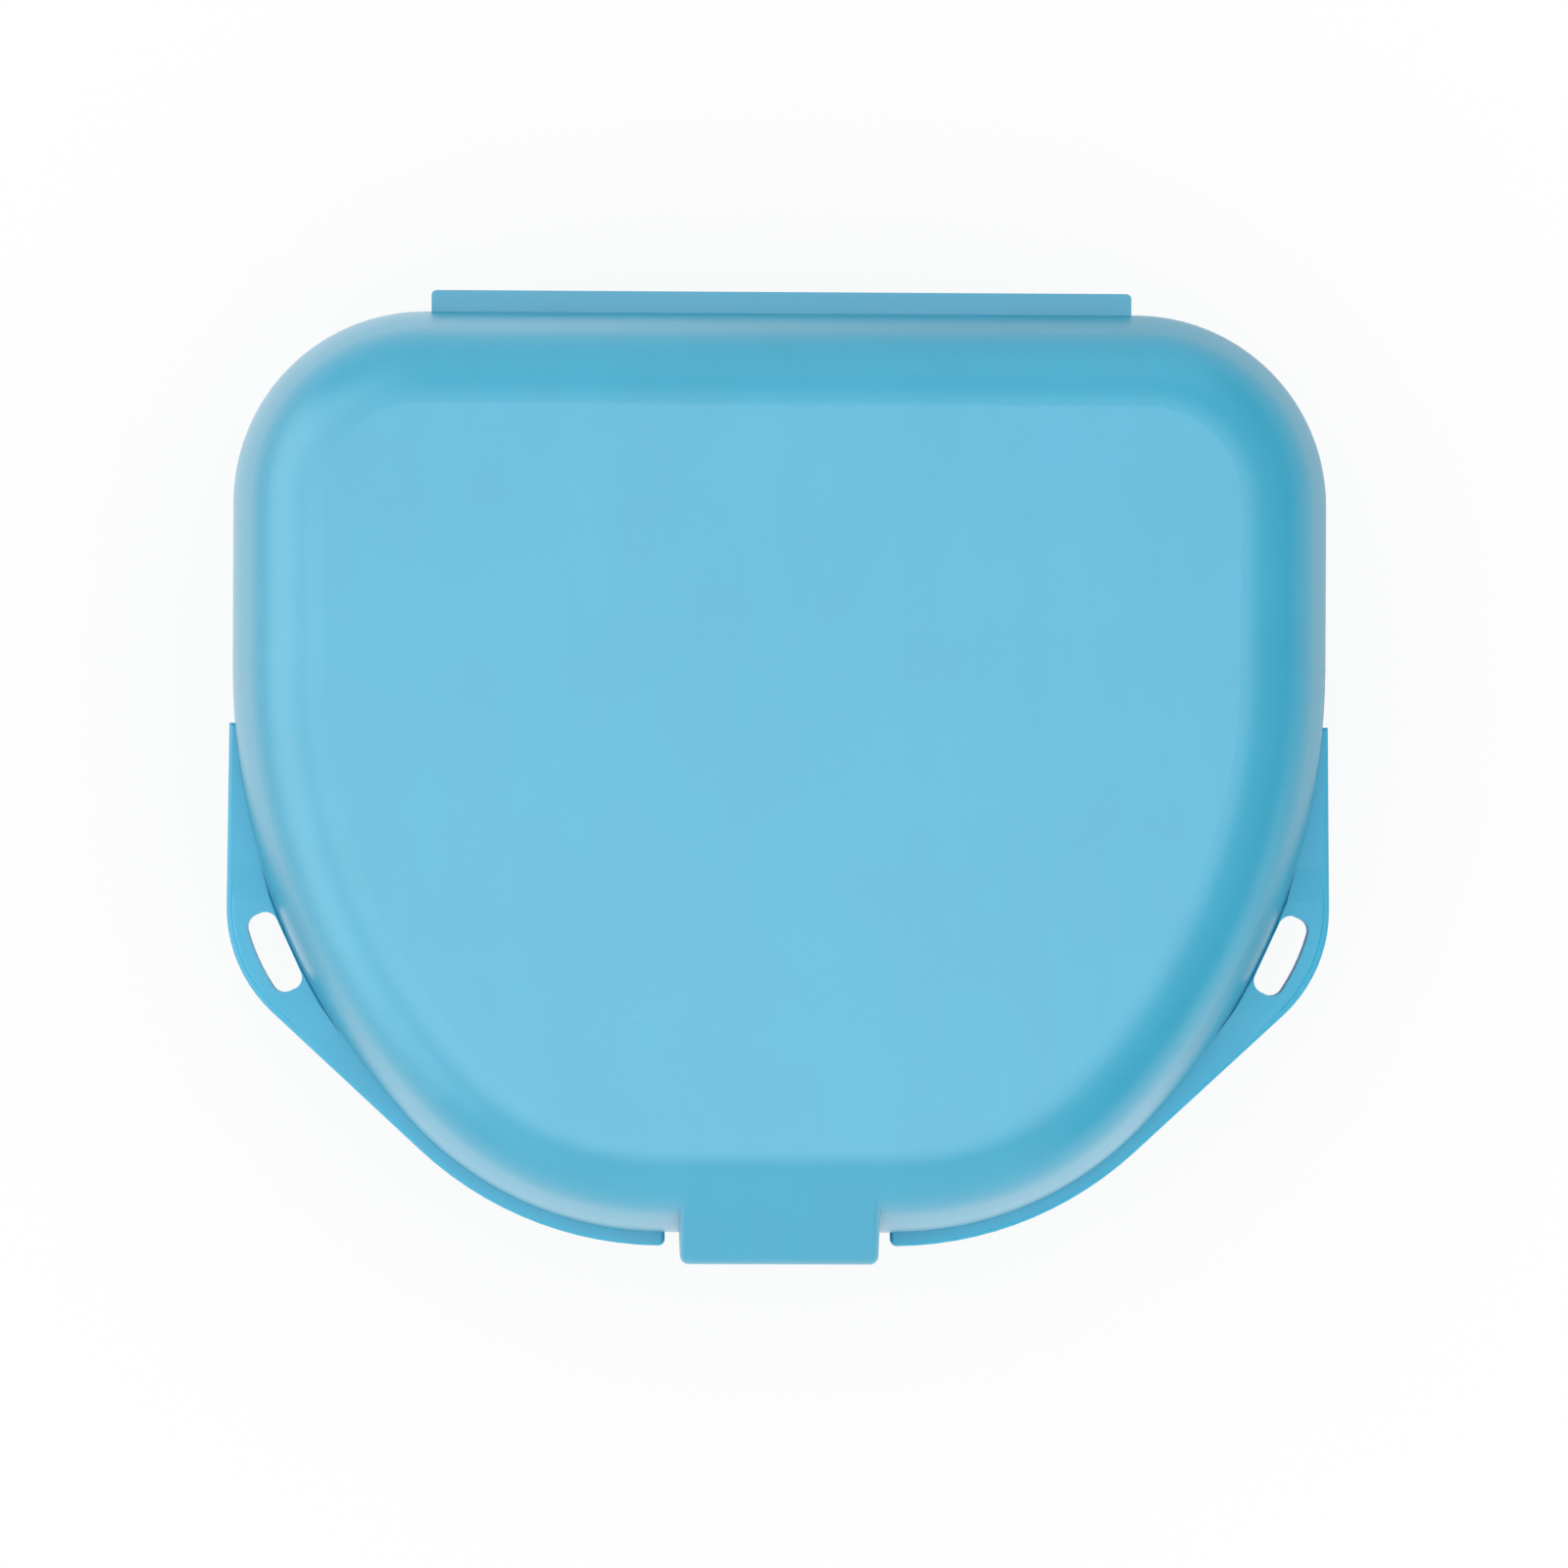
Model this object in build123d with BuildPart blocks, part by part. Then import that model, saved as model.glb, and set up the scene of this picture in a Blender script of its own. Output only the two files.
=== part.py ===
from build123d import *
import os
from math import atan2, cos, degrees, radians, sin, tan

os.makedirs("parts", exist_ok=True)

# A pocket case for a dental retainer: a D-shaped tray and a domed lid on a pinned hinge.
# Millimetres and degrees. X runs to the right, the thumb tab is at -Y, the hinge at +Y, Z is up.
# The origin is the middle of the footprint, on the surface that the case stands on.

# Outline of the lid, seen from above
lid_width = 82.3
lid_depth = 69.2
front_flat = 17.4
front_sweep = 46.5
side_flat = 12.3
rear_corner_radius = 14.4

# Lid shell
lid_height = 12.2
lid_wall = 1.5
lid_draft = 5.0
lid_upper_draft = 20.0
lid_knee_height = 4.0
lid_knee_radius = 28.0
lid_top_radius = 6.0
lid_edge_radius = 0.2
parting_gap = 0.12

# Tray: the tub, its rim and the lip that the lid closes over
tray_height = 15.5
tray_wall = 1.5
tray_inset = 1.5
tray_draft = 3.0
tray_floor = 1.8
tray_foot_radius = 5.0
tray_inner_radius = 3.5
foot_width = 2.5
foot_recess = 0.4
rim_thickness = 1.7
rim_inset = 0.15
rim_reach = 1.05
rim_edge_radius = 0.3
lip_height = 1.5
lip_gap = 0.25

# Lanyard ears, one at each side of the rim
ear_reach = 0.45
ear_lean = 0.2
ear_rear = 38.2
ear_diagonal = 42.8
ear_corner_radius = 10.7
slot_reach = 1.4
slot_width = 2.2
slot_length = 6.25
slot_bulge = 0.34
slot_end_radius = 0.95
slot_tilt = 24.7
pad_length = 8.1
pad_slope = 2.5
pad_rise = 0.2
pad_gap = 0.15
pad_inset = 0.4
pad_edge_radius = 0.2

# Thumb tab and its snap hook
tab_width = 14.8
tab_reach = 2.0
tab_wall = 1.45
tab_roof = 1.7
tab_slope = 38.0
tab_sink = 0.01
tab_corner_radius = 0.65
tab_edge_radius = 1.5
tab_tip_radius = 0.4
tab_length_below = 3.2
notch_width = 17.0
notch_end_radius = 0.5
catch_inset = 0.05
catch_overlap = 0.45
catch_gap = 0.05
hook_land = 0.3

# Hinge
hinge_width = 52.6
hinge_offset = 0.2
knuckle_radius = 1.25
pin_radius = 0.6
pin_clearance = 0.05
pin_end_wall = 0.6
pin_chamfer = 0.15
knuckle_gap = 0.3
lid_knuckle_length = 10.2
middle_knuckle_length = 12.6
cover_reach = 1.54
cover_clearance = 0.15
cover_thickness = 1.0
cover_corner_radius = 0.4

# The footprint is centred on the origin, from the front of the tab to the back of the hinge cover
lid_rear = (lid_depth + tab_reach + cover_reach) / 2 - cover_reach
lid_front = lid_rear - lid_depth
half_width = lid_width / 2

# The front curve is two arcs, tangent to the front edge, to each other and to the straight side
curve_depth = lid_depth - side_flat - rear_corner_radius
curve_width = half_width - front_flat / 2
sweep_sin = sin(radians(front_sweep))
sweep_cos = cos(radians(front_sweep))
sweep_share = sweep_sin + sweep_cos - 1
front_radius = (sweep_cos * curve_width - (1 - sweep_sin) * curve_depth) / sweep_share
side_radius = (sweep_sin * curve_depth - (1 - sweep_cos) * curve_width) / sweep_share
front_centre = (front_flat / 2, lid_front + front_radius)
side_centre = (half_width - side_radius, lid_front + curve_depth)
rear_centre = (half_width - rear_corner_radius, lid_rear - rear_corner_radius)

# The ears reach past the sides of the lid, and each slot runs along the lid's edge
ear_span = lid_width + 2 * ear_reach
slot_x = side_centre[0] + (side_radius + slot_reach) * cos(radians(slot_tilt))
slot_y = side_centre[1] - (side_radius + slot_reach) * sin(radians(slot_tilt))

# Heights
rim_top = tray_height
rim_bottom = rim_top - rim_thickness
lid_bottom = rim_top + parting_gap
lid_top = lid_bottom + lid_height
hinge_y = lid_rear + hinge_offset
hinge_z = lid_bottom - cover_clearance - knuckle_radius

# The wall of the lid leans further in above its knee, inside as outside
lid_lean = radians(lid_upper_draft)
knee_middle = radians(lid_upper_draft + lid_draft) / 2
knee_half = radians(lid_upper_draft - lid_draft) / 2
knee_inset = lid_knee_height * tan(radians(lid_draft))
knee_z = lid_bottom + lid_knee_height
inner_knee_inset = knee_inset + lid_wall * cos(knee_middle) / cos(knee_half)
inner_knee_z = knee_z - lid_wall * sin(knee_middle) / cos(knee_half)

# Insets of the walls from the lid's outline, at the parting plane
lid_inner_inset = lid_wall / cos(radians(lid_draft))
tray_inner_inset = tray_inset + tray_wall
lip_inset = lid_inner_inset - parting_gap * tan(radians(lid_draft)) + lip_gap


# The closed outline of the lid, moved inwards
def lid_outline(inset):
    with BuildSketch() as shape:
        with BuildLine():
            front = CenterArc(front_centre, front_radius - inset, -90, front_sweep)
            side = CenterArc(side_centre, side_radius - inset, front_sweep - 90, 90 - front_sweep)
            corner = CenterArc(rear_centre, rear_corner_radius - inset, 0, 90)
            Line(side @ 1, corner @ 0)
            mirror(about=Plane.YZ)
            Line((-front_flat / 2, lid_front + inset), front @ 0)
            Line((-rear_centre[0], lid_rear - inset), corner @ 1)
        make_face()
    return shape.sketch


# The lanyard slot on the right: straight beside the lid, and bulging a little on its outer side
def slot_outline():
    with BuildSketch() as shape:
        with BuildLine():
            ends = Polyline(
                (slot_width / 2, slot_length / 2),
                (-slot_width / 2, slot_length / 2),
                (-slot_width / 2, -slot_length / 2),
                (slot_width / 2, -slot_length / 2),
            )
            ThreePointArc(ends @ 1, (slot_width / 2 + slot_bulge, 0), ends @ 0)
        make_face()
        fillet(shape.vertices(), slot_end_radius)
    return shape.sketch.moved(Location((slot_x, slot_y, 0), (0, 0, -slot_tilt)))


# The gap in the rim for the tab, with the corners of the rim beside it rounded
def notch_outline():
    rim_front = lid_front - rim_reach
    end_x = notch_width / 2 + notch_end_radius
    end_y = rim_front + notch_end_radius
    depth = rim_reach + catch_inset + 2 * notch_end_radius
    with BuildSketch() as shape:
        with Locations((0, lid_front + catch_inset)):
            Rectangle(notch_width, depth, align=(Align.CENTER, Align.MAX))
        with Locations((0, end_y)):
            Rectangle(2 * end_x, 2 * notch_end_radius, align=(Align.CENTER, Align.MAX))
        with Locations((end_x, end_y), (-end_x, end_y)):
            Circle(notch_end_radius, mode=Mode.SUBTRACT)
    return shape.sketch


# The part of the rim that shows in front of the lid, with both ears
def ear_outline():
    reach_radius = front_radius + rim_reach
    with BuildSketch() as shape:
        with BuildLine():
            front = CenterArc(front_centre, reach_radius, -90, ear_diagonal)
            run = (ear_span / 2 - (front @ 1).X) / cos(radians(ear_diagonal))
            diagonal = PolarLine(front @ 1, run, ear_diagonal)
            side = Line(diagonal @ 1, (ear_span / 2 - ear_lean, lid_front + ear_rear))
            Line(side @ 1, (0, lid_front + ear_rear))
            Line((0, lid_front - rim_reach), front @ 0)
            mirror(about=Plane.YZ)
        make_face()
        fillet(shape.vertices().group_by(Axis.X)[0], ear_corner_radius)
        fillet(shape.vertices().group_by(Axis.X)[-1], ear_corner_radius)
    return shape.sketch


# A section of the hinge: the barrel and the block that ties it to its wall
def knuckle_outline(block_front, block_back, block_bottom, block_top):
    with BuildSketch() as shape:
        with Locations((hinge_y, hinge_z)):
            Circle(knuckle_radius)
        with Locations((block_front, block_bottom)):
            Rectangle(block_back - block_front, block_top - block_bottom, align=(Align.MIN, Align.MIN))
    return shape.sketch


# Stretches of the hinge along X, as (start, length), each knuckle a gap from the next
lid_knuckle_start = middle_knuckle_length / 2 + knuckle_gap
end_knuckle_start = lid_knuckle_start + lid_knuckle_length + knuckle_gap
end_knuckle_length = hinge_width / 2 - end_knuckle_start
tray_knuckles = [
    (-hinge_width / 2, end_knuckle_length),
    (-middle_knuckle_length / 2, middle_knuckle_length),
    (end_knuckle_start, end_knuckle_length),
]
lid_knuckles = [
    (-lid_knuckle_start - lid_knuckle_length, lid_knuckle_length),
    (lid_knuckle_start, lid_knuckle_length),
]

# Tray tub, solid
with BuildPart() as tub:
    tray_lean = tray_height * tan(radians(tray_draft))
    with BuildSketch(Plane.XY):
        add(lid_outline(tray_inset + tray_lean))
    extrude(amount=tray_height, taper=-tray_draft)
    fillet(tub.faces().sort_by(Axis.Z)[0].edges(), tray_foot_radius)

# Hollow of the tray
with BuildPart() as tray_hollow:
    hollow_lean = (tray_height - tray_floor) * tan(radians(tray_draft))
    hollow_depth = tray_height - tray_floor
    with BuildSketch(Plane.XY.offset(tray_floor)):
        add(lid_outline(tray_inner_inset + hollow_lean))
    extrude(amount=hollow_depth, taper=-tray_draft)
    fillet(tray_hollow.faces().sort_by(Axis.Z)[0].edges(), tray_inner_radius)
    with BuildSketch(Plane.XY.offset(rim_top)):
        add(lid_outline(tray_inner_inset))
    extrude(amount=lip_height)

# A raised pad across the right ear, with sloping ends, clear of the lid
with BuildPart() as slot_pad:
    pad_span = pad_length + 2 * pad_slope
    with BuildSketch(Plane.XY.offset(rim_bottom + rim_thickness / 2)):
        with Locations((slot_x, slot_y)):
            Rectangle(4 * slot_width + 2 * slot_bulge, pad_span)
        add(offset(ear_outline(), amount=-pad_inset, mode=Mode.PRIVATE), mode=Mode.INTERSECT)
        add(lid_outline(-pad_gap), mode=Mode.SUBTRACT)
    extrude(amount=rim_thickness / 2 + pad_rise)
    fillet(slot_pad.faces().sort_by(Axis.Z)[-1].edges(), pad_edge_radius)
    with BuildSketch(Plane.YZ):
        with Locations((slot_y, rim_top)):
            slope_angle = degrees(atan2(pad_rise, pad_slope))
            Trapezoid(pad_span, pad_rise, slope_angle, align=(Align.CENTER, Align.MIN))
            Rectangle(pad_span, rim_thickness, align=(Align.CENTER, Align.MAX))
    extrude(amount=lid_width, mode=Mode.INTERSECT)

with BuildPart() as base_tray:
    # Rim plate with the ears, cut back at the catch
    with BuildSketch(Plane.XY.offset(rim_bottom)):
        add(lid_outline(rim_inset))
        add(ear_outline())
        add(notch_outline(), mode=Mode.SUBTRACT)
    extrude(amount=rim_thickness)
    fillet(base_tray.faces().filter_by(Axis.Z).edges(), rim_edge_radius)
    add(slot_pad.part)
    add(mirror(slot_pad.part, about=Plane.YZ, mode=Mode.PRIVATE))
    with BuildSketch(Plane.XY.offset(rim_bottom)):
        add(slot_outline())
        mirror(about=Plane.YZ)
    extrude(amount=rim_thickness + pad_rise, mode=Mode.SUBTRACT)
    # Room behind the wall for the knuckles of the lid
    for start, length in lid_knuckles:
        with Locations((start - knuckle_gap, lid_rear - tray_inset, rim_bottom)):
            Box(
                length + 2 * knuckle_gap,
                tray_inset,
                rim_thickness,
                align=(Align.MIN, Align.MIN, Align.MIN),
                mode=Mode.SUBTRACT,
            )
    # The tub, and the lip that stands up inside the lid
    add(tub.part)
    with BuildSketch(Plane.XY.offset(rim_top)):
        add(lid_outline(lip_inset))
    extrude(amount=lip_height, taper=lid_draft)
    # The knuckles of the tray, joined to the back of the tub
    for start, length in tray_knuckles:
        with BuildSketch(Plane.YZ.offset(start)):
            block_front = lid_rear - tray_inset - tray_wall / 2
            add(knuckle_outline(block_front, hinge_y, hinge_z - knuckle_radius, hinge_z + knuckle_radius))
        extrude(amount=length)
    # The bore, open at the right end only
    with BuildSketch(Plane.YZ.offset(hinge_width / 2)):
        with Locations((hinge_y, hinge_z)):
            Circle(pin_radius + pin_clearance)
    extrude(amount=pin_end_wall - hinge_width, mode=Mode.SUBTRACT)
    add(tray_hollow.part, mode=Mode.SUBTRACT)
    # The foot stands on a band, with a shallow recess inside it
    with BuildSketch(Plane.XY):
        add(lid_outline(tray_inset + tray_lean + tray_foot_radius + foot_width))
    extrude(amount=foot_recess, mode=Mode.SUBTRACT)

# Thumb tab: its top runs on from the dome in a straight slope, and its skirt carries the snap hook
dome_z = lid_top - lid_top_radius
dome_y = lid_front + knee_inset + (lid_top_radius + (dome_z - knee_z) * sin(lid_lean)) / cos(lid_lean)
slope_sin = sin(radians(tab_slope))
slope_cos = cos(radians(tab_slope))
slope_radius = lid_top_radius - tab_sink
core_radius = lid_top_radius - tab_roof
slope_y = dome_y - slope_radius * slope_sin
slope_z = dome_z + slope_radius * slope_cos
core_y = dome_y - core_radius * slope_sin
core_z = dome_z + core_radius * slope_cos
tab_front = lid_front - tab_reach
tab_back = tab_front + tab_wall
tab_bottom = rim_top - tab_length_below
hook_top = rim_bottom - catch_gap
hook_tip = lid_front + catch_inset + catch_overlap

with BuildPart() as tab:
    with BuildSketch(Plane.YZ.offset(-tab_width / 2)):
        with BuildLine():
            Polyline(
                (slope_y, slope_z),
                (tab_front, slope_z - (slope_y - tab_front) * slope_sin / slope_cos),
                (tab_front, tab_bottom),
                (tab_back, tab_bottom),
                (hook_tip, hook_top - hook_land),
                (hook_tip, hook_top),
                (tab_back, hook_top),
                (tab_back, lid_bottom),
                (slope_y, lid_bottom),
                close=True,
            )
        make_face()
    extrude(amount=tab_width)
    fillet(tab.faces().sort_by(Axis.Y)[0].edges().sort_by(Axis.Z)[-1], tab_edge_radius)
    fillet(tab.faces().sort_by(Axis.Y)[0].edges().sort_by(Axis.Z)[0], tab_tip_radius)
    front_faces = tab.faces().filter_by(lambda face: face.normal_at().Y < -0.3)
    fillet(front_faces.edges().filter_by(Axis.X, reverse=True), tab_corner_radius)

# Hollow of the lid
with BuildPart() as lid_hollow:
    with BuildSketch(Plane.XY.offset(lid_bottom)):
        add(lid_outline(lid_inner_inset))
    extrude(amount=inner_knee_z - lid_bottom, taper=lid_draft)
    with BuildSketch(Plane.XY.offset(inner_knee_z)):
        add(lid_outline(inner_knee_inset))
    extrude(amount=lid_top - lid_wall - inner_knee_z, taper=lid_upper_draft)
    inner_knee = lid_hollow.edges().filter_by_position(Axis.Z, inner_knee_z - 0.01, inner_knee_z + 0.01)
    fillet(inner_knee, lid_knee_radius - lid_wall)
    fillet(lid_hollow.faces().sort_by(Axis.Z)[-1].edges(), lid_top_radius - lid_wall)
    # The tab is cored out too
    with BuildSketch(Plane.YZ.offset(tab_wall - tab_width / 2)):
        with BuildLine():
            Polyline(
                (core_y, core_z),
                (tab_back, core_z - (core_y - tab_back) * slope_sin / slope_cos),
                (tab_back, lid_bottom),
                (core_y, lid_bottom),
                close=True,
            )
        make_face()
    extrude(amount=tab_width - 2 * tab_wall)

with BuildPart() as lid:
    with BuildSketch(Plane.XY.offset(lid_bottom)):
        add(lid_outline(0))
    extrude(amount=lid_knee_height, taper=lid_draft)
    with BuildSketch(Plane.XY.offset(knee_z)):
        add(lid_outline(knee_inset))
    extrude(amount=lid_height - lid_knee_height, taper=lid_upper_draft)
    fillet(lid.edges().filter_by_position(Axis.Z, knee_z - 0.01, knee_z + 0.01), lid_knee_radius)
    fillet(lid.faces().sort_by(Axis.Z)[-1].edges(), lid_top_radius)
    fillet(lid.faces().sort_by(Axis.Z)[0].edges(), lid_edge_radius)
    add(tab.part)
    # The lip that covers the hinge
    with Locations((0, lid_rear - lid_wall / 2, lid_bottom)):
        Box(
            hinge_width,
            lid_wall / 2 + cover_reach,
            cover_thickness,
            align=(Align.CENTER, Align.MIN, Align.MIN),
        )
    fillet(lid.faces().sort_by(Axis.Y)[-1].edges().filter_by(Axis.Z), cover_corner_radius)
    # The knuckles of the lid, which hang from that lip
    for start, length in lid_knuckles:
        with BuildSketch(Plane.YZ.offset(start)):
            block_top = lid_bottom + cover_thickness / 2
            add(knuckle_outline(lid_rear - lid_wall / 2, hinge_y + knuckle_radius, hinge_z, block_top))
        extrude(amount=length)
    with BuildSketch(Plane.YZ.offset(-hinge_width / 2)):
        with Locations((hinge_y, hinge_z)):
            Circle(pin_radius + pin_clearance)
    extrude(amount=hinge_width, mode=Mode.SUBTRACT)
    add(lid_hollow.part, mode=Mode.SUBTRACT)

# Hinge pin, pushed in from the right until it meets the blind end of the bore
with BuildPart() as hinge_pin:
    with BuildSketch(Plane.YZ.offset(pin_end_wall + pin_clearance - hinge_width / 2)):
        with Locations((hinge_y, hinge_z)):
            Circle(pin_radius)
    extrude(amount=hinge_width - 2 * pin_end_wall - pin_clearance)
    chamfer(hinge_pin.edges().filter_by(GeomType.CIRCLE), pin_chamfer)

base_tray.part.label = "base_tray"
lid.part.label = "lid"
hinge_pin.part.label = "hinge_pin"
for piece in (base_tray.part, lid.part, hinge_pin.part):
    export_step(piece, f"parts/{piece.label}.step")
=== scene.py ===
from math import atan, cos, degrees, pi, radians, sin

import bpy
import numpy as np
from mathutils import Matrix, Vector


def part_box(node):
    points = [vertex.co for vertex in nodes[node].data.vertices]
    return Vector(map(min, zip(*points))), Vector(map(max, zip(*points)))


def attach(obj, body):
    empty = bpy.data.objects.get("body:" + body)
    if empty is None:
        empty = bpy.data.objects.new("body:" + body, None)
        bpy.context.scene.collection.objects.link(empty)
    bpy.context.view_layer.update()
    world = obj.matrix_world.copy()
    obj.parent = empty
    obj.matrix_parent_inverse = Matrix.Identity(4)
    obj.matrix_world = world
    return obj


# a retainer case: finishes for the CAD solids, marks from its moulds, and the studio round it
# metres, in the frame of the CAD: the thumb tab is at -Y, the hinge at +Y
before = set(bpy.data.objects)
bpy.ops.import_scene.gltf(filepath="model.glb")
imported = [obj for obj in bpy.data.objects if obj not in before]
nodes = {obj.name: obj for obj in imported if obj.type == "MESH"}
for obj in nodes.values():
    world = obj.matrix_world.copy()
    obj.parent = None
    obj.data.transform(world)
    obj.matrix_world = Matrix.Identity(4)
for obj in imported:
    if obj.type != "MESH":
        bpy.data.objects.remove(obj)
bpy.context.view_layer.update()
print("frame loaded:", ", ".join(sorted(nodes)))


# shader maths: a Field is one output socket of a node tree
class Field:
    def __init__(self, graph, socket):
        self.graph = graph
        self.socket = socket

    def math(self, operation, other, swapped=False):
        first, second = (other, self) if swapped else (self, other)
        return self.graph.add("ShaderNodeMath", {"operation": operation}, {0: first, 1: second})

    def __add__(self, other):
        return self.math("ADD", other)

    def __radd__(self, other):
        return self.math("ADD", other, swapped=True)

    def __sub__(self, other):
        return self.math("SUBTRACT", other)

    def __rsub__(self, other):
        return self.math("SUBTRACT", other, swapped=True)

    def __mul__(self, other):
        return self.math("MULTIPLY", other)

    def __rmul__(self, other):
        return self.math("MULTIPLY", other, swapped=True)

    def most(self, other):
        return self.math("MAXIMUM", other)

    def part(self, axis):
        return self.graph.add("ShaderNodeSeparateXYZ", {}, {0: self}, axis)

    # 0 below low, 1 above high, smooth between; low may be the larger one
    def ramp(self, low, high):
        return self.graph.add(
            "ShaderNodeMapRange",
            {"interpolation_type": "SMOOTHSTEP", "clamp": True},
            {"Value": self, "From Min": low, "From Max": high, "To Min": 0.0, "To Max": 1.0},
        )


# the node tree of one material, or of the world
class Graph:
    def __init__(self, owner, ending="ShaderNodeOutputMaterial"):
        self.owner = owner
        owner.use_nodes = True
        self.tree = owner.node_tree
        self.tree.nodes.clear()
        self.end = self.tree.nodes.new(ending)

    # one node: its type, its settings, what goes into its sockets, and which output is wanted
    def add(self, kind, settings, values, output=0):
        node = self.tree.nodes.new(kind)
        for key, value in settings.items():
            setattr(node, key, value)
        for key, value in values.items():
            if isinstance(value, Field):
                self.tree.links.new(value.socket, node.inputs[key])
            else:
                node.inputs[key].default_value = value
        return Field(self, node.outputs[output])

    # object coordinates, scaled to cells per metre along each axis, then turned and shifted; what is read
    # there stretches along the axis with few cells, and turn and shift only pick another part of it
    def mapped(self, scale=(1, 1, 1), turn=(0, 0, 0), shift=(0, 0, 0)):
        place = self.add("ShaderNodeTexCoord", {}, {}, "Object")
        return self.add(
            "ShaderNodeMapping", {"vector_type": "POINT"},
            {"Vector": place, "Location": shift, "Rotation": turn, "Scale": scale},
        )

    def noise(self, vector, scale=1.0, detail=2.0, roughness=0.5):
        return self.add(
            "ShaderNodeTexNoise", {"noise_dimensions": "3D"},
            {"Vector": vector, "Scale": scale, "Detail": detail, "Roughness": roughness},
        )

    def mix(self, mask, low, high):
        return self.add("ShaderNodeMix", {"data_type": "RGBA"}, {0: mask, 6: low, 7: high}, 2)

    def bump(self, height, distance):
        return self.add(
            "ShaderNodeBump", {},
            {"Height": height, "Strength": 1.0, "Distance": distance},
        )

    def ray(self, kind):
        return self.add("ShaderNodeLightPath", {}, {}, kind)

    def finish(self, shader):
        self.tree.links.new(shader.socket, self.end.inputs["Surface"])
        return self.owner


def rgba(colour, gain=1.0):
    return (colour[0] * gain, colour[1] * gain, colour[2] * gain, 1.0)


white = (1, 1, 1)
noiseMiddle = 0.5            # what a noise wanders about

# plastic of the two mouldings: one pigment, and the tray comes from a duller mould; the tray's colour is
# painted lighter than the lid's, as painted light against the shade that the lid's wall puts on it
lidMould = {
    "colour": (0.018, 0.340, 0.512),
    "cloud": 0.030,          # how far the pigment wanders, as a share
    "cloudSize": 0.011,
    "roughness": 0.38,
    "roughSpread": 0.05,
    "grainSize": 0.00022,    # spark eroded mould
    "grainDepth": 0.000006,
    "scuffColour": (0.50, 0.70, 0.82),
    "scuffGain": 0.035,
    "specular": 0.72,
    "shift": (0.31, 0.17, 0.05),
}
trayMould = {
    # painted light: lighter than the lid's colour, to make up for the shade under the lid's wall
    "colour": (0.016, 0.388, 0.590),
    "cloud": 0.030,
    "cloudSize": 0.013,
    "roughness": 0.54,
    "roughSpread": 0.06,
    "grainSize": 0.00026,
    "grainDepth": 0.000008,
    "scuffColour": (0.42, 0.64, 0.78),
    "scuffGain": 0.030,
    "specular": 0.50,
    "shift": (0.72, 0.43, 0.21),
}
# what the two have in common
plastic = {
    "flowCells": (260, 40, 90),
    "flowTurn": 0.3,
    "flowShare": 0.35,       # of the tint, and the clouds have the rest
    "tintRange": (0.30, 0.70),
    "poresPerGrain": 0.6,
    "poreShare": 0.3,        # of the relief, and the grain has the rest
    "scuffLayers": [(0.5, 34.0), (-0.9, 45.0), (2.2, 28.0)],    # turn, and cells per metre along a hair
    "scuffAcross": 2600,     # cells per metre across a hair
    "hairRange": (0.735, 0.80),
    "patchCells": 55.0,
    "patchRange": (0.50, 0.68),
    "scuffDepth": 0.5,
    "scuffRoughness": 0.10,
    "ior": 1.49,
    "coat": 0.18,
    "coatRoughness": 0.32,
    "milkiness": 0.10,       # light that goes in and comes out beside
    "milkReach": (0.35, 0.8, 1.0),
    "milkScale": 0.0012,
}


# hairline scuffs: thin slices of noises that are drawn out along X and Z, in patches
def hairScuffs(g, spot, shift):
    scuffs = None
    for turn, size in plastic["scuffLayers"]:
        cells = (size, plastic["scuffAcross"], size)
        line = g.noise(g.mapped(cells, turn=(0, 0, turn), shift=shift), detail=1.0, roughness=0.4)
        hair = line.ramp(*plastic["hairRange"])
        scuffs = hair if scuffs is None else scuffs.most(hair)
    return scuffs * g.noise(spot, plastic["patchCells"]).ramp(*plastic["patchRange"])


def mouldedPlastic(name, mould):
    g = Graph(bpy.data.materials.new(name))
    spot = g.mapped(shift=mould["shift"])
    cloud = g.noise(spot, 1 / mould["cloudSize"], detail=3.0, roughness=0.55)
    # flow marks, drawn out along Y, from the gate towards the thumb tab
    stream = g.mapped(plastic["flowCells"], turn=(0, 0, plastic["flowTurn"]), shift=mould["shift"])
    flow = g.noise(stream, detail=3.0, roughness=0.6)
    grain = g.noise(spot, 1 / mould["grainSize"], roughness=0.6)
    pore = g.add(
        "ShaderNodeTexVoronoi", {"feature": "F1"},
        {"Vector": spot, "Scale": plastic["poresPerGrain"] / mould["grainSize"]}, "Distance",
    )
    scuffs = hairScuffs(g, spot, mould["shift"])
    tint = cloud * (1 - plastic["flowShare"]) + flow * plastic["flowShare"]
    deep = rgba(mould["colour"], 1 - mould["cloud"])
    pale = rgba(mould["colour"], 1 + mould["cloud"])
    pigment = g.mix(tint.ramp(*plastic["tintRange"]), deep, pale)
    roughness = mould["roughness"] + (cloud - noiseMiddle) * mould["roughSpread"]
    relief = grain * (1 - plastic["poreShare"]) + pore * plastic["poreShare"]
    return g.finish(g.add("ShaderNodeBsdfPrincipled", {}, {
        "Base Color": g.mix(scuffs * mould["scuffGain"], pigment, rgba(mould["scuffColour"])),
        "Roughness": roughness + scuffs * plastic["scuffRoughness"],
        "Normal": g.bump(relief - scuffs * plastic["scuffDepth"], mould["grainDepth"]),
        "IOR": plastic["ior"],
        "Specular IOR Level": mould["specular"],
        "Coat Weight": plastic["coat"],
        "Coat Roughness": plastic["coatRoughness"],
        "Subsurface Weight": plastic["milkiness"],
        "Subsurface Radius": plastic["milkReach"],
        "Subsurface Scale": plastic["milkScale"],
    }))


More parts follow.
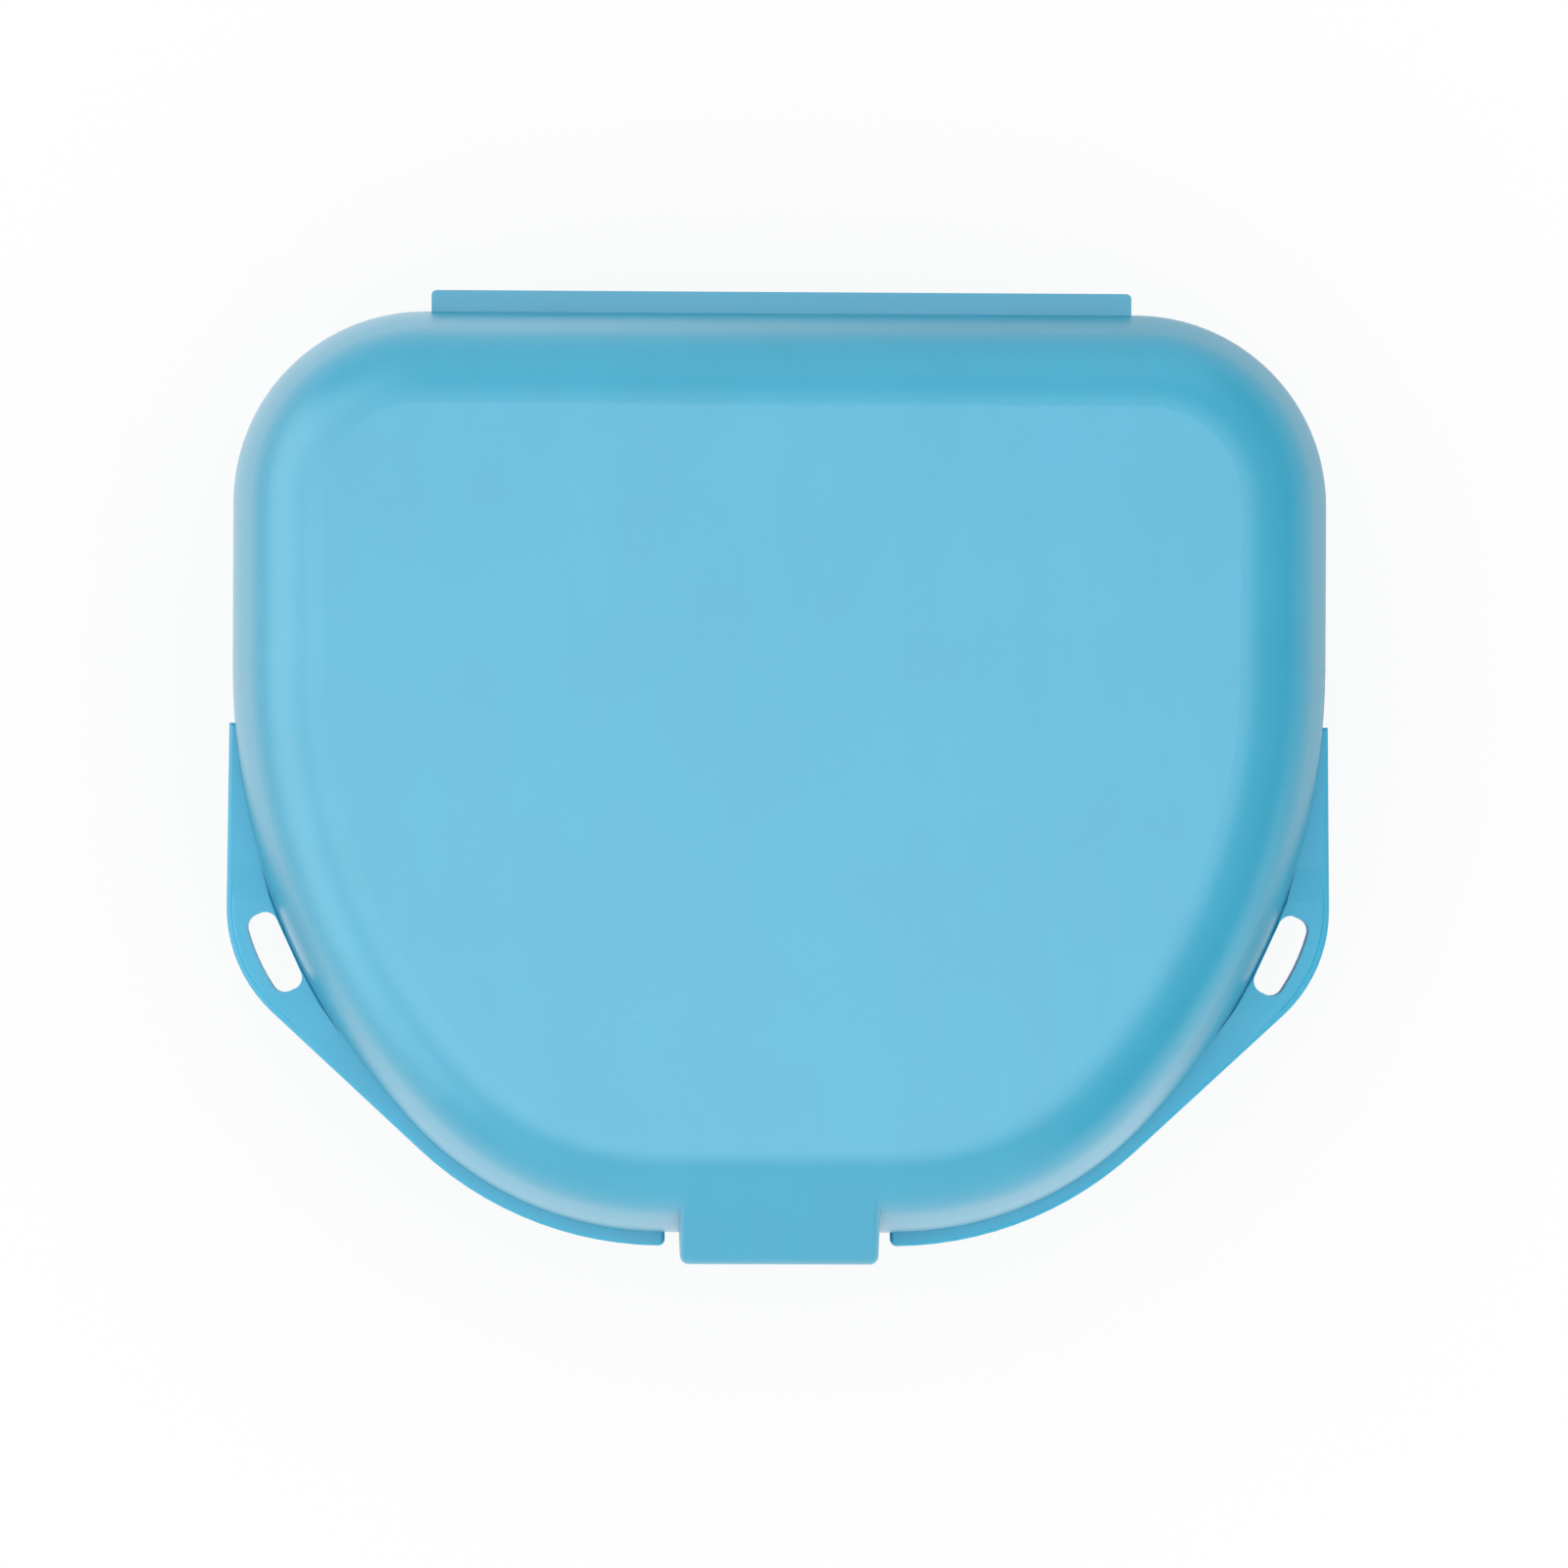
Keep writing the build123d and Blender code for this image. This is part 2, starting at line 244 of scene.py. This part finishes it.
# steel of the hinge pin, with draw lines and a smear along it
pin = {
    "colour": (0.60, 0.60, 0.61),
    "deep": 0.86,            # the darkest of the smear, as a share of the colour
    "pale": 1.05,            # and the palest
    "smearCells": (300, 1500, 1500),
    "smearRange": (0.35, 0.7),
    "lineCells": (60, 9000, 9000),
    "lineDepth": 0.000004,
    "roughness": 0.27,
    "lineSpread": 0.22,
    "smearSpread": 0.12,
}


def drawnSteel(name, wire):
    g = Graph(bpy.data.materials.new(name))
    lines = g.noise(g.mapped(wire["lineCells"]), detail=3.0, roughness=0.6)
    smear = g.noise(g.mapped(wire["smearCells"]))
    deep = rgba(wire["colour"], wire["deep"])
    pale = rgba(wire["colour"], wire["pale"])
    lined = (lines - noiseMiddle) * wire["lineSpread"]
    smeared = (smear - noiseMiddle) * wire["smearSpread"]
    return g.finish(g.add("ShaderNodeBsdfPrincipled", {}, {
        "Base Color": g.mix(smear.ramp(*wire["smearRange"]), deep, pale),
        "Roughness": wire["roughness"] + lined + smeared,
        "Normal": g.bump(lines, wire["lineDepth"]),
        "Metallic": 1.0,
    }))


lidPlastic = mouldedPlastic("lidPlastic", lidMould)
trayPlastic = mouldedPlastic("trayPlastic", trayMould)
pinSteel = drawnSteel("pinSteel", pin)
for name, material in (("lid", lidPlastic), ("base_tray", trayPlastic), ("hinge_pin", pinSteel)):
    slots = nodes[name].data.materials
    slots.clear()
    slots.append(material)
print("materials:", ", ".join(m.name for m in bpy.data.materials))


# an object of one material from arrays of points and faces, left at the origin
def meshPiece(name, points, faces, material):
    mesh = bpy.data.meshes.new(name)
    mesh.from_pydata(points.tolist(), [], faces.tolist())
    mesh.materials.append(material)
    made = bpy.data.objects.new(name, mesh)
    bpy.context.scene.collection.objects.link(made)
    return made


# ring marks: round each place runs a flat ellipse, half sunk in the plastic. With turn t and section
# angle s, the radius is radius + half the width times cos s, and the height is the face's height plus
# the rise times sin s
def ringMarks(name, marks, body, material, turns=64, sections=12):
    t = np.arange(turns)[None, :, None] * 2 * pi / turns
    s = np.arange(sections)[None, None, :] * 2 * pi / sections
    place = np.array(marks["places"])[:, :, None, None]
    away = marks["radius"] + marks["width"] / 2 * np.cos(s)
    x = place[:, 0] + away * np.cos(t)
    y = place[:, 1] + away * np.sin(t)
    z = np.broadcast_to(marks["face"] + marks["rise"] * np.sin(s), x.shape)
    points = np.stack([x, y, z], -1).reshape(-1, 3)
    index = np.arange(len(points)).reshape(x.shape)
    onward = np.roll(index, -1, 1)
    corners = [index, onward, np.roll(onward, -1, 2), np.roll(index, -1, 2)]
    rings = meshPiece(name, points, np.stack(corners, -1).reshape(-1, 4), material)
    rings.data.shade_smooth()
    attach(rings, body)


# each place on the right, with its like on the left
def bothSides(places):
    return [(side * x, y) for x, y in places for side in (-1, 1)]


# the faces that carry the marks, from the frame and the walls of the mouldings
wall = {
    "trayFloor": 0.0018,
    "footRecess": 0.0004,
    "lidTop": 0.0015,
}
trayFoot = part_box("base_tray")[0].z
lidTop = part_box("lid")[1].z

# what the ejector pins leave inside both mouldings, and the gate under the tray
trayEjectors = {
    "radius": 0.0023,
    "width": 0.00034,
    "rise": 0.00009,
    "face": trayFoot + wall["trayFloor"],
    "places": bothSides([(0.021, 0.017), (0.014, -0.012)]),
}
lidEjectors = {
    "radius": 0.0023,
    "width": 0.00034,
    "rise": 0.00009,
    "face": lidTop - wall["lidTop"],
    "places": bothSides([(0.022, 0.016), (0.015, -0.013)]),
}
trayGate = {
    "radius": 0.0009,
    "width": 0.0006,
    "rise": 0.00013,
    "face": trayFoot + wall["footRecess"],
    "places": [(0.0, 0.004)],
}
ringMarks("trayEjectors", trayEjectors, "base", trayPlastic)
ringMarks("lidEjectors", lidEjectors, "lid", lidPlastic)
ringMarks("trayGate", trayGate, "base", trayPlastic)
print("mould marks made")


# floor, world and lamps
studio = {
    "floorRadius": 4.0,
    "floorColour": 0.80,     # of the paper, where it is seen
    "floorBounce": 0.30,     # and as it lights the case from below
    "floorGlow": 0.86,       # how much of the seen floor is plain white instead of lit paper
    # painted reflection: how bright shiny walls see it near each side of the case, as a glow of the floor
    # that no lamp gives
    "paintedFloorShine": {"right": 0.80, "left": 1.38, "front": 1.6},
    "shineAcross": (0.020, -0.030),    # X over which the right side's shine passes into the left side's
    "shineAhead": (-0.027, -0.035),    # Y over which both pass into the front's
    "fill": (0.99, 1.0, 1.01),
    "fillLevel": 0.88,       # the sky of the light tent, as it lights matt surfaces
    "shineLevel": 0.12,      # and as it shows in shiny ones
    # name, place, what it faces, its two sides in metres, its radiance, what it lights
    "lamps": [
        ("topPanel", (-0.12, -0.15, 0.74), (-0.12, -0.15, 0.0), 0.80, 0.60, 2.45, "shine"),
        ("cornerPanel", (-0.40, 0.38, 0.70), (0.0, 0.0, 0.02), 0.44, 0.44, 2.00, "shine"),
        ("leftPanel", (-0.80, 0.00, 0.33), (0.0, 0.0, 0.06), 1.60, 0.76, 2.80, "shine"),
        ("frontPanel", (0.00, -0.95, 0.36), (0.0, 0.0, 0.06), 1.30, 0.80, 1.10, "shine"),
        ("rearPanel", (0.00, 0.95, 0.40), (0.0, 0.0, 0.06), 1.30, 0.80, 0.80, "shine"),
        ("leftWash", (-0.75, 0.00, 0.70), (0.0, 0.0, 0.0), 1.20, 0.90, 0.70, "matt"),
        ("frontWash", (0.00, -0.75, 0.70), (0.0, 0.0, 0.0), 1.20, 0.90, 0.60, "matt"),
        ("rightWash", (0.75, 0.00, 0.70), (0.0, 0.0, 0.0), 1.20, 0.90, 0.58, "matt"),
        ("rearWash", (0.00, 0.75, 0.70), (0.0, 0.0, 0.0), 1.20, 0.90, 0.50, "matt"),
    ],
}


# disc: one ring of points at the radius and at turn t, closed at the middle by one point
def disc(name, radius, height, material, turns=96):
    t = np.arange(turns) * 2 * pi / turns
    ring = np.stack([radius * np.cos(t), radius * np.sin(t), np.full(turns, height)], 1)
    step = np.arange(turns)
    faces = np.stack([step, (step + 1) % turns, np.full(turns, turns)], 1)
    return meshPiece(name, np.vstack([ring, [[0, 0, height]]]), faces, material)


# paper that glows white where it is seen, is lit by the lamps, and glows brighter or darker near each side
# in shiny walls, as painted reflections there
def glowingPaper(name):
    g = Graph(bpy.data.materials.new(name))
    seen = g.ray("Is Camera Ray").most(g.ray("Is Glossy Ray")).most(g.ray("Is Transmission Ray"))
    paper = g.mix(seen, rgba(white, studio["floorBounce"]), rgba(white, studio["floorColour"]))
    lit = g.add("ShaderNodeBsdfDiffuse", {}, {"Color": paper})
    place = g.mapped()
    # painted reflection: the levels that shiny walls see in the floor, brighter on the left and in front,
    # darker on the right
    near = {side: rgba(white, level) for side, level in studio["paintedFloorShine"].items()}
    paintedShine = g.mix(place.part("X").ramp(*studio["shineAcross"]), near["right"], near["left"])
    paintedShine = g.mix(place.part("Y").ramp(*studio["shineAhead"]), paintedShine, near["front"])
    glow = g.mix(g.ray("Is Glossy Ray"), rgba(white), paintedShine)
    plain = g.add("ShaderNodeEmission", {}, {"Color": glow, "Strength": 1.0})
    share = seen * studio["floorGlow"]
    return g.finish(g.add("ShaderNodeMixShader", {}, {0: share, 1: lit, 2: plain}))


# the sky that lights the case, and the white that is seen behind it
def lightTent(name):
    world = bpy.data.worlds.new(name)
    g = Graph(world, "ShaderNodeOutputWorld")
    shine = g.ray("Is Glossy Ray")
    level = studio["fillLevel"] + shine * (studio["shineLevel"] - studio["fillLevel"])
    tent = g.add("ShaderNodeBackground", {}, {"Color": rgba(studio["fill"]), "Strength": level})
    backdrop = g.add("ShaderNodeBackground", {}, {"Color": rgba(white), "Strength": 1.0})
    seen = g.ray("Is Camera Ray").most(g.ray("Is Transmission Ray"))
    return g.finish(g.add("ShaderNodeMixShader", {}, {0: seen, 1: tent, 2: backdrop}))


# a flat panel of even radiance, that lights either matt surfaces or shiny ones
def panel(name, place, target, sideX, sideY, radiance, lights):
    lamp = bpy.data.lights.new(name, "AREA")
    lamp.shape = "RECTANGLE"
    lamp.size = sideX
    lamp.size_y = sideY
    lamp.energy = radiance * pi * sideX * sideY
    made = bpy.data.objects.new(name, lamp)
    aim = (Vector(target) - Vector(place)).to_track_quat("-Z", "Y").to_matrix().to_4x4()
    made.matrix_world = Matrix.Translation(place) @ aim
    made.visible_camera = False
    made.visible_glossy = lights == "shine"
    made.visible_diffuse = lights == "matt"
    bpy.context.scene.collection.objects.link(made)


disc("floor", studio["floorRadius"], 0.0, glowingPaper("floorPaper"))
bpy.context.scene.world = lightTent("studioWorld")
for lamp in studio["lamps"]:
    panel(*lamp)

shot = {
    "place": (-0.011, 0.0, 0.5155),
    "target": (0.00034, -0.0006, 0.0155),
    "roll": -0.25,           # degrees
    "halfWidth": 0.05905,    # half of what the picture takes in at the target
    "sensor": 36.0,          # millimetres, as the lens
    "nearest": 0.01,
    "farthest": 20.0,
}


# it looks down with its right hand along +X, then rolls about its own line of sight
def aimedCamera(name):
    camera = bpy.data.cameras.new(name)
    sight = Vector(shot["target"]) - Vector(shot["place"])
    camera.sensor_width = shot["sensor"]
    camera.lens = shot["sensor"] / 2 * sight.length / shot["halfWidth"]
    camera.clip_start = shot["nearest"]
    camera.clip_end = shot["farthest"]
    ahead = sight.normalized()
    level = ahead.cross(Vector((0, 1, 0))).normalized()
    upright = level.cross(ahead)
    turn = radians(shot["roll"])
    rightHand = level * cos(turn) - upright * sin(turn)
    overHead = level * sin(turn) + upright * cos(turn)
    axes = Matrix((rightHand, overHead, -ahead)).transposed().to_4x4()
    made = bpy.data.objects.new(name, camera)
    made.matrix_world = Matrix.Translation(shot["place"]) @ axes
    bpy.context.scene.collection.objects.link(made)
    return made


bpy.context.scene.camera = aimedCamera("camera")
bpy.context.scene.view_settings.view_transform = "Standard"
lens = bpy.context.scene.camera.data.lens
print("studio ready, angle of view", round(2 * degrees(atan(shot["sensor"] / 2 / lens)), 2))
